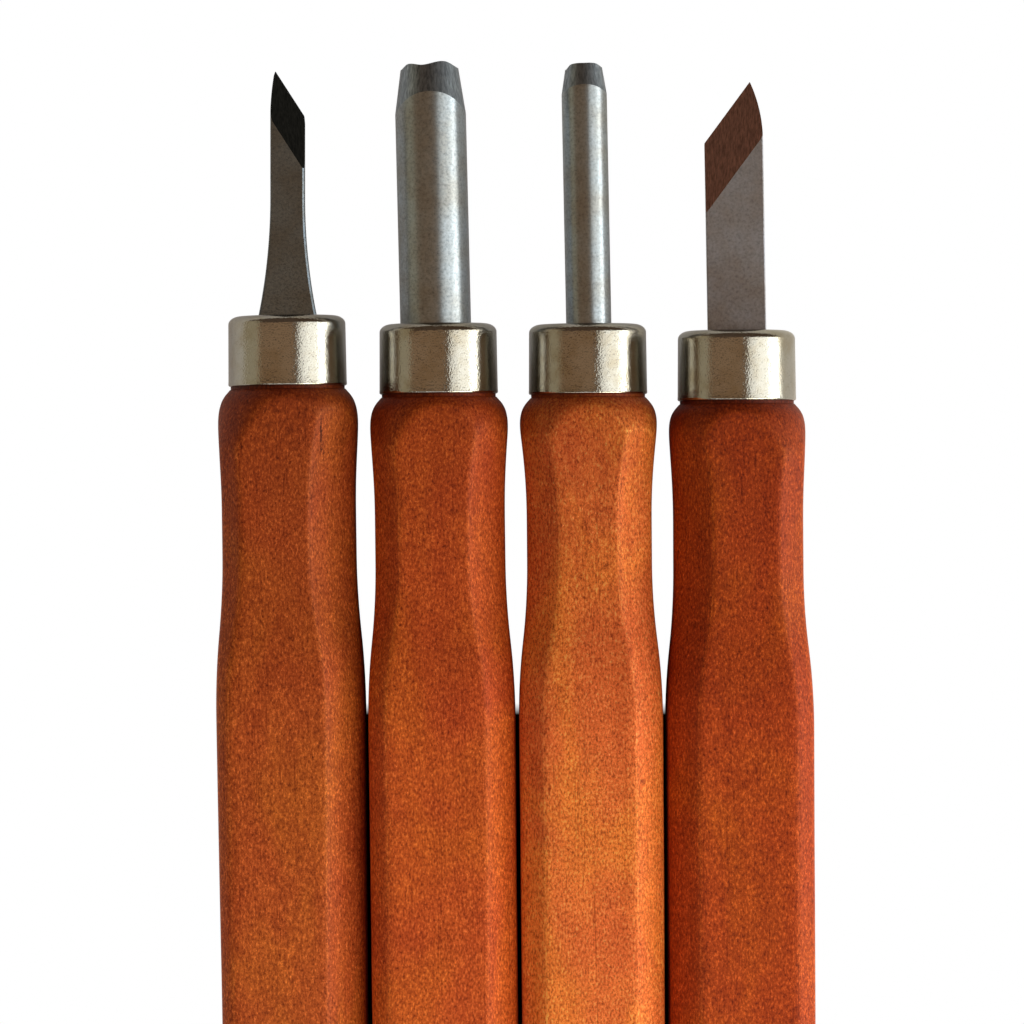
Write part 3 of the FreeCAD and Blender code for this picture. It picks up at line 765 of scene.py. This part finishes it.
class LINO_OT_blades(bpy.types.Operator):
    """Forge and grind the two skew knives and the two gouges"""

    bl_idname = "lino.blades"
    bl_label = "Blades"

    def knife(self, size, tool):
        """A bar with its point on the right, cut along the slanting edge and ground from above."""
        full, width, base, flare, thickness = getattr(size, tool)
        inset, curve, drop, bevel = getattr(size, f"{tool}_point")
        half, foot = width / 2, base / 2
        rows = 110

        def side(y):
            if y < 0 or foot - half < 1e-6:
                return foot if y < 0 else half
            if y >= flare:
                return half
            bend = ((foot - half) ** 2 + flare**2) / (2 * (foot - half))
            return half + bend - math.sqrt(bend**2 - (flare - y) ** 2)

        def place(i, j):
            y = -size.heel + (full + size.heel) * j / rows
            right = side(y)
            if y > full - curve:
                bend = (inset**2 + curve**2) / (2 * inset)
                right = half - (bend - math.sqrt(bend**2 - (y - full + curve) ** 2))
            left = -side(y)
            return Vector((left + (right - left) * i / 4, y, -thickness / 2))

        bm = bmesh.new()
        surface(bm, 4, rows, place)
        top = bmesh.ops.extrude_face_region(bm, geom=bm.faces[:])["geom"]
        raised = [v for v in top if isinstance(v, bmesh.types.BMVert)]
        bmesh.ops.translate(bm, vec=(0, 0, thickness), verts=raised)
        bmesh.ops.recalc_face_normals(bm, faces=bm.faces)
        # the long edges are rounded before the point is cut
        long_edges = [
            e
            for e in bm.edges
            if e.is_manifold
            and e.calc_face_angle() > math.radians(60)
            and abs((e.verts[1].co - e.verts[0].co).normalized().y) > 0.5
        ]
        rounding = getattr(size, f"{tool}_edges")
        bmesh.ops.bevel(
            bm, geom=long_edges, offset=rounding, segments=2, profile=0.5, affect="EDGES", material=-1
        )
        point = Vector((half - inset, full, 0))
        end = Vector((-half, full - drop, 0))
        edge = (end - point).normalized()
        cut_open(bm, point, Vector((0, 0, 1)).cross(edge) * -1)
        low = Vector((0, 0, -thickness / 2 + size.edge_land))
        slope = Vector((0, -bevel, thickness / 2)) - low
        ground = edge.cross(slope).normalized()
        ground *= math.copysign(1, ground.z)
        cut_open(bm, point + low, ground)
        if tool == "narrow_knife":
            bmesh.ops.scale(bm, vec=(-1, 1, 1), verts=bm.verts)
            bmesh.ops.reverse_faces(bm, faces=bm.faces)
        return bm

    def gouge(self, size, tool):
        """The outside of a half tube, filled in, with its bevel ground on and its edge worn."""
        full, width, wall, leg = getattr(size, tool)
        tip, side_run, crown_run = getattr(size, f"{tool}_bevel")
        half, centre = width / 2, gouge_centre(size, tool)
        knots = list(zip(getattr(size, f"{tool}_worn_at"), getattr(size, f"{tool}_worn")))

        def ground(back):
            return tip + (half - tip) * back / side_run, tip + (half - tip) * back / crown_run

        def reach(turn, back):
            across, up = ground(back)
            return 1 / math.hypot(math.cos(turn) / across, math.sin(turn) / up)

        def foot(turn):
            """How far back the bevel meets the tube, found by halving."""
            near, far = 0.0, side_run
            for _ in range(40):
                middle = (near + far) / 2
                if reach(turn, middle) < half:
                    near = middle
                else:
                    far = middle
            return near

        body_rows, bevel_rows = 24, 18
        turns = [math.pi * (1 - k / CROWN_STEPS) for k in range(CROWN_STEPS + 1)]
        feet = [foot(turn) for turn in turns]

        def point(k, j):
            step = min(max(k - LEG_STEPS, 0), CROWN_STEPS)
            turn, start = turns[step], feet[step]
            past = max(LEG_STEPS - k, k - LEG_STEPS - CROWN_STEPS, 0)
            # the wear is given by place and the place moves with the wear, so a few rounds settle them
            end = 0.0
            for _ in range(6):
                end = hermite(knots, reach(turn, end) * math.cos(turn))
            if j <= body_rows:
                back, radius = start, half
                y = -size.heel + (full - start + size.heel) * j / body_rows
            else:
                back = start + (end - start) * (j - body_rows) / bevel_rows
                radius = reach(turn, back)
                y = full - back
            height = centre + radius * math.sin(turn) - leg * past / LEG_STEPS
            return Vector((radius * math.cos(turn), y, height))

        bm = arch_body(ARCH_STEPS, body_rows + bevel_rows, point, centre - leg)
        flute = plain_arch(half - wall, leg + 1 * MM, centre, -1 * MM, full + 2 * MM)
        return bm, flute

    def steel(self, tool, tint, satin, ground_tint, ground_blur, pit_depth):
        """Hardened carbon steel, rolled and tumbled on the flats and wheel-ground on the bevel.

        The eye reads a dull grey satin with fine pits and a brown cast, and a bevel of another shade,
        smoother on the knives, with straight grinding lines along the blade.
        """
        material, tree, output, here = new_material(f"{tool}_carbon_steel")
        # width in mm, detail and roughness of the pits and of the brown stains
        patterns = []
        for mm, detail, roughness in ((0.28, 4.0, 0.7), (4.0, 5.0, 0.6)):
            settings = {"Vector": here, "Scale": per_metre(mm), "Detail": detail, "Roughness": roughness}
            patterns.append(add_node(tree, "ShaderNodeTexNoise", settings).outputs["Fac"])
        mottle, stains = patterns
        # grinding lines run along the blade, about 0.16 mm apart
        inputs = {"Vector": here, "Scale": (per_metre(0.16), per_metre(7.0), per_metre(0.16))}
        drawn = add_node(tree, "ShaderNodeMapping", inputs).outputs["Vector"]
        lines = add_node(
            tree, "ShaderNodeTexNoise", {"Vector": drawn, "Scale": 1.0, "Detail": 3.0, "Roughness": 0.6}
        ).outputs["Fac"]
        ground = add_node(tree, "ShaderNodeAttribute", attribute_name="ground").outputs["Fac"]
        # the rolled faces and the bevel, from dark to pale: (place in the pattern, share of the tint)
        shades = []
        for pattern, base, tones in (
            (mottle, tint, ((0.28, 0.62), (0.5, 1.0), (0.72, 1.22))),
            (lines, ground_tint, ((0.32, 0.6), (0.5, 1.0), (0.7, 1.5))),
        ):
            stops = [(at, [min(c * share, 1) for c in list(base)[:3]] + [1]) for at, share in tones]
            ramp = add_node(tree, "ShaderNodeValToRGB", {"Fac": pattern}, stops=stops)
            shades.append(ramp.outputs["Color"])
        flat, bevel = shades
        cast = add_node(
            tree, "ShaderNodeValToRGB", {"Fac": stains}, stops=[(0.36, (0.88, 0.80, 0.72, 1)), (0.62, 1.0)]
        ).outputs["Color"]
        flat = add_node(tree, "ShaderNodeMix", {0: 1.0, 6: flat, 7: cast}, **MULTIPLY).outputs[2]
        metal = add_node(tree, "ShaderNodeMix", {0: ground, 6: flat, 7: bevel}, data_type="RGBA").outputs[2]
        flat_blur = add_node(
            tree, "ShaderNodeMapRange", {"Value": mottle, "To Min": satin + 0.1, "To Max": satin - 0.08}
        ).outputs["Result"]
        inputs = {"Value": lines, "To Min": ground_blur + 0.08, "To Max": ground_blur - 0.06}
        bevel_blur = add_node(tree, "ShaderNodeMapRange", inputs).outputs["Result"]
        blur = add_node(
            tree, "ShaderNodeMix", {0: ground, 2: flat_blur, 3: bevel_blur}, data_type="FLOAT"
        ).outputs[0]
        relief = {}
        for height, mm, strength in ((mottle, pit_depth, 0.6), (lines, 0.006, 0.5)):
            settings = {"Height": height, "Distance": mm * MM, "Strength": strength, **relief}
            relief = {"Normal": add_node(tree, "ShaderNodeBump", settings).outputs["Normal"]}
        inputs = {"Base Color": metal, "Metallic": 1.0, "Roughness": blur, **relief}
        shader = add_node(tree, "ShaderNodeBsdfPrincipled", inputs)
        tree.links.new(shader.outputs["BSDF"], output.inputs["Surface"])
        return material

    def mark_ground(self, mesh, place, is_ground):
        """Write down which faces the wheel has touched."""
        back = place.inverted()
        turn = back.to_3x3()
        values = [
            1.0 if is_ground(back @ face.center, (turn @ face.normal).normalized()) else 0.0
            for face in mesh.polygons
        ]
        mesh.attributes.new("ground", "FLOAT", "FACE").data.foreach_set("value", values)

    def execute(self, context):
        settings = context.scene.lino_cutters
        size = settings.blade
        look = settings.finish
        # tint and blur of the rolled faces, tint and blur of the bevel, depth of the pits in millimetres
        finish = {
            "narrow_knife": (look.dark_steel, 0.26, look.dark_bevel, 0.12, 0.0012),
            "wide_gouge": (look.steel, 0.31, look.gouge_bevel, 0.38, 0.008),
            "narrow_gouge": (look.steel, 0.31, look.gouge_bevel, 0.38, 0.008),
            "broad_knife": (look.pale_steel, 0.42, look.red_bevel, 0.36, 0.012),
        }
        for tool in TOOLS:
            place = blade_place(tool, settings.ferrule.height)
            if tool in KNIVES:
                full, drop = getattr(size, tool)[0], getattr(size, f"{tool}_point")[2]
                bevel = getattr(size, f"{tool}_point")[3]
                mesh = to_mesh(self.knife(size, tool), tool, place)
                reach = full - drop - bevel - 1 * MM

                # beyond that place, only the bevel leans up and towards the point like this
                def is_ground(centre, normal, reach=reach):
                    return centre.y > reach and 0.6 < normal.z < 0.992 and normal.y > 0.04

            else:
                bm, flute = self.gouge(size, tool)
                mesh = cut_slot(to_mesh(bm, tool, place), flute, place)
                full, width, wall, _ = getattr(size, tool)
                side_run = getattr(size, f"{tool}_bevel")[1]
                middle = Vector((0, 0, gouge_centre(size, tool)))

                def is_ground(
                    centre, normal, start=full - side_run, half=width / 2, wall=wall, middle=middle
                ):
                    out = math.hypot(centre.x, max(centre.z - middle.z, 0))
                    return centre.y > start and half - wall + 0.02 * MM < out < half - 0.006 * MM

            self.mark_ground(mesh, place, is_ground)
            tint, satin, ground_tint, ground_blur, pits = finish[tool]
            material = self.steel(tool, tint, satin, ground_tint, ground_blur, pits)
            add_piece(tool, "blade", mesh, material, sharp=12 if tool in KNIVES else 9)
        return {"FINISHED"}


class LINO_OT_stage(bpy.types.Operator):
    """Set up the pale table, the soft boxes and the camera that looks straight down"""

    bl_idname = "lino.stage"
    bl_label = "Stage"

    # millimetres along the handles from the middle of the set, towards the blades, over which the painted
    # shade in the gaps fades
    GAPS_FROM, GAPS_TO = 2.2, 3.4

    def soft_box(self, name, centre, target, width, height, radiance, tint):
        data = bpy.data.lights.new(name, "AREA")
        data.shape = "RECTANGLE"
        data.size, data.size_y = width, height
        data.energy = radiance * math.pi * width * height
        data.color = tint
        lamp = bpy.data.objects.new(name, data)
        centre, target = Vector(centre), Vector(target)
        aim = (centre - target).normalized()
        side = Vector((0, 1, 0)).cross(aim) if abs(aim.y) < 0.6 else Vector((1, 0, 0))
        side.normalize()
        turn = Matrix((side, aim.cross(side), aim)).transposed().to_4x4()
        lamp.matrix_world = Matrix.Translation(centre) @ turn
        lamp.visible_camera = False
        bpy.context.scene.collection.objects.link(lamp)
        return lamp

    def table(self, reach):
        bm = bmesh.new()
        bmesh.ops.create_grid(bm, x_segments=1, y_segments=1, size=reach)
        floor = bpy.data.objects.new("table", to_mesh(bm, "table", Matrix.Translation((0, 0, -0.00002))))
        material, tree, output, here = new_material("matt_white_paper")
        # paper that is even white to the camera, except in the narrow gaps between the handles, which are
        # painted dark as shade where little sky reaches them and on the butts' side of the line GAPS_FROM to
        # GAPS_TO
        open_sky = add_node(
            tree, "ShaderNodeAmbientOcclusion", {"Distance": 14 * MM}, samples=32
        ).outputs["AO"]
        free = add_node(
            tree, "ShaderNodeValToRGB", {"Fac": open_sky}, stops=[(0.125, 0.0), (0.25, 1.0)]
        ).outputs["Color"]
        along = add_node(tree, "ShaderNodeSeparateXYZ", {"Vector": here}).outputs["Y"]
        inputs = {"Value": along, "From Min": self.GAPS_FROM * MM, "From Max": self.GAPS_TO * MM}
        past = add_node(tree, "ShaderNodeMapRange", inputs).outputs["Result"]
        pale = add_node(tree, "ShaderNodeMath", {0: free, 1: past}, operation="MAXIMUM").outputs["Value"]
        paper = add_node(tree, "ShaderNodeBsdfDiffuse", {"Color": (0.80, 0.79, 0.76, 1)})
        back_light = add_node(tree, "ShaderNodeEmission", {"Color": free, "Strength": 0.17})
        lit = add_node(
            tree, "ShaderNodeAddShader", {0: paper.outputs["BSDF"], 1: back_light.outputs["Emission"]}
        )
        white = add_node(tree, "ShaderNodeEmission", {"Color": pale, "Strength": 1.0})
        seen = add_node(tree, "ShaderNodeLightPath").outputs["Is Camera Ray"]
        both = add_node(
            tree, "ShaderNodeMixShader", {0: seen, 1: lit.outputs["Shader"], 2: white.outputs["Emission"]}
        )
        tree.links.new(both.outputs["Shader"], output.inputs["Surface"])
        floor.data.materials.append(material)
        bpy.context.scene.collection.objects.link(floor)

    def execute(self, context):
        scene = context.scene
        size = scene.lino_cutters.stage
        self.table(size.floor_reach)

        world = bpy.data.worlds.new("dim_room")
        world.use_nodes = True
        tree = world.node_tree
        tree.nodes.clear()
        room = add_node(tree, "ShaderNodeBackground", {"Color": (0.10, 0.066, 0.045, 1), "Strength": 1.0})
        plain = add_node(tree, "ShaderNodeBackground", {"Color": (1, 1, 1, 1), "Strength": 1.0})
        seen = add_node(tree, "ShaderNodeLightPath").outputs["Is Camera Ray"]
        inputs = {0: seen, 1: room.outputs["Background"], 2: plain.outputs["Background"]}
        both = add_node(tree, "ShaderNodeMixShader", inputs)
        sky = add_node(tree, "ShaderNodeOutputWorld")
        tree.links.new(both.outputs["Shader"], sky.inputs["Surface"])
        scene.world = world

        # three boxes square to the tools, one above the other from 23 degrees off the vertical down to the
        # horizon, which the metal reflects, and a low one towards the butts, which lights the wood
        far = 0.6
        boxes = (
            ("right_upper_box", 23, 38, 0.75),
            ("right_middle_box", 38, 66, 1.0),
            ("right_low_box", 66, 90, 2.1),
        )
        for name, top, bottom, share in boxes:
            lean, spread = math.radians((top + bottom) / 2), math.radians((bottom - top) / 2)
            self.soft_box(
                name,
                (far * math.sin(lean), 0.03, far * math.cos(lean)),
                (0, 0.03, 0.01),
                2 * far * math.tan(spread),
                0.28,
                size.side_light * share,
                (1.0, 1.0, 0.94),
            )
        # name, centre, target, width, height, radiance and tint. The brown ceiling over the middle is what
        # the ferrules and the flats of the blades reflect
        low, end = size.low_light, size.end_light
        for box in (
            ("right_butt_box", (0.42, -0.40, 0.18), (0, 0, 0.01), 0.5, 0.28, low, (1.0, 0.97, 0.76)),
            ("left_soft_box", (-0.55, 0.03, 0.16), (0, 0.03, 0.01), 0.36, 0.8, 0.32, (1.0, 0.92, 0.64)),
            ("ceiling", (-0.5, 0.03, 0.78), (-0.5, 0.03, 0), 1.45, 0.30, 0.235, (1.0, 0.62, 0.33)),
            ("end_soft_box", (0, -0.13, 0.11), (0, -0.10, 0.0), 0.3, 0.12, end, (1.0, 0.97, 0.93)),
        ):
            self.soft_box(*box)

        data = bpy.data.cameras.new("camera")
        data.sensor_fit = "HORIZONTAL"
        handle_height = scene.lino_cutters.handle.depths[2] / 2
        data.angle = 2 * math.atan(size.view_width / 2 / (size.view_height - handle_height))
        data.clip_start, data.clip_end = 0.01, 20
        camera = bpy.data.objects.new("camera", data)
        camera.location = (size.view_centre[0], size.view_centre[1], size.view_height)
        scene.collection.objects.link(camera)
        scene.camera = camera
        scene.view_settings.view_transform = "Standard"
        return {"FINISHED"}


class LINO_PT_panel(bpy.types.Panel):
    """Lists the pieces of the set"""

    bl_idname = "LINO_PT_panel"
    bl_label = "Lino Cutters"
    bl_space_type = "VIEW_3D"
    bl_region_type = "UI"
    bl_category = "Lino Cutters"

    def draw(self, context):
        for operator in OPERATORS:
            self.layout.operator(operator.bl_idname)
        settings = context.scene.lino_cutters
        for part in ("handle", "ferrule", "blade", "finish", "stage"):
            group = getattr(settings, part)
            box = self.layout.box()
            box.label(text=part.title())
            for key in group.__annotations__:
                box.prop(group, key)


OPERATORS = (LINO_OT_handles, LINO_OT_ferrules, LINO_OT_blades, LINO_OT_stage)
CLASSES = (HandleSizes, FerruleSizes, BladeSizes, Finishes, StageSettings, LinoCutterSettings)
CLASSES += OPERATORS + (LINO_PT_panel,)


def register():
    for cls in CLASSES:
        bpy.utils.register_class(cls)
    bpy.types.Scene.lino_cutters = PointerProperty(type=LinoCutterSettings)


def unregister():
    del bpy.types.Scene.lino_cutters
    for cls in reversed(CLASSES):
        bpy.utils.unregister_class(cls)


def main():
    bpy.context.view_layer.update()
    register()
    bpy.ops.lino.handles()
    bpy.ops.lino.ferrules()
    bpy.ops.lino.blades()
    bpy.ops.lino.stage()


if __name__ == "__main__":
    main()
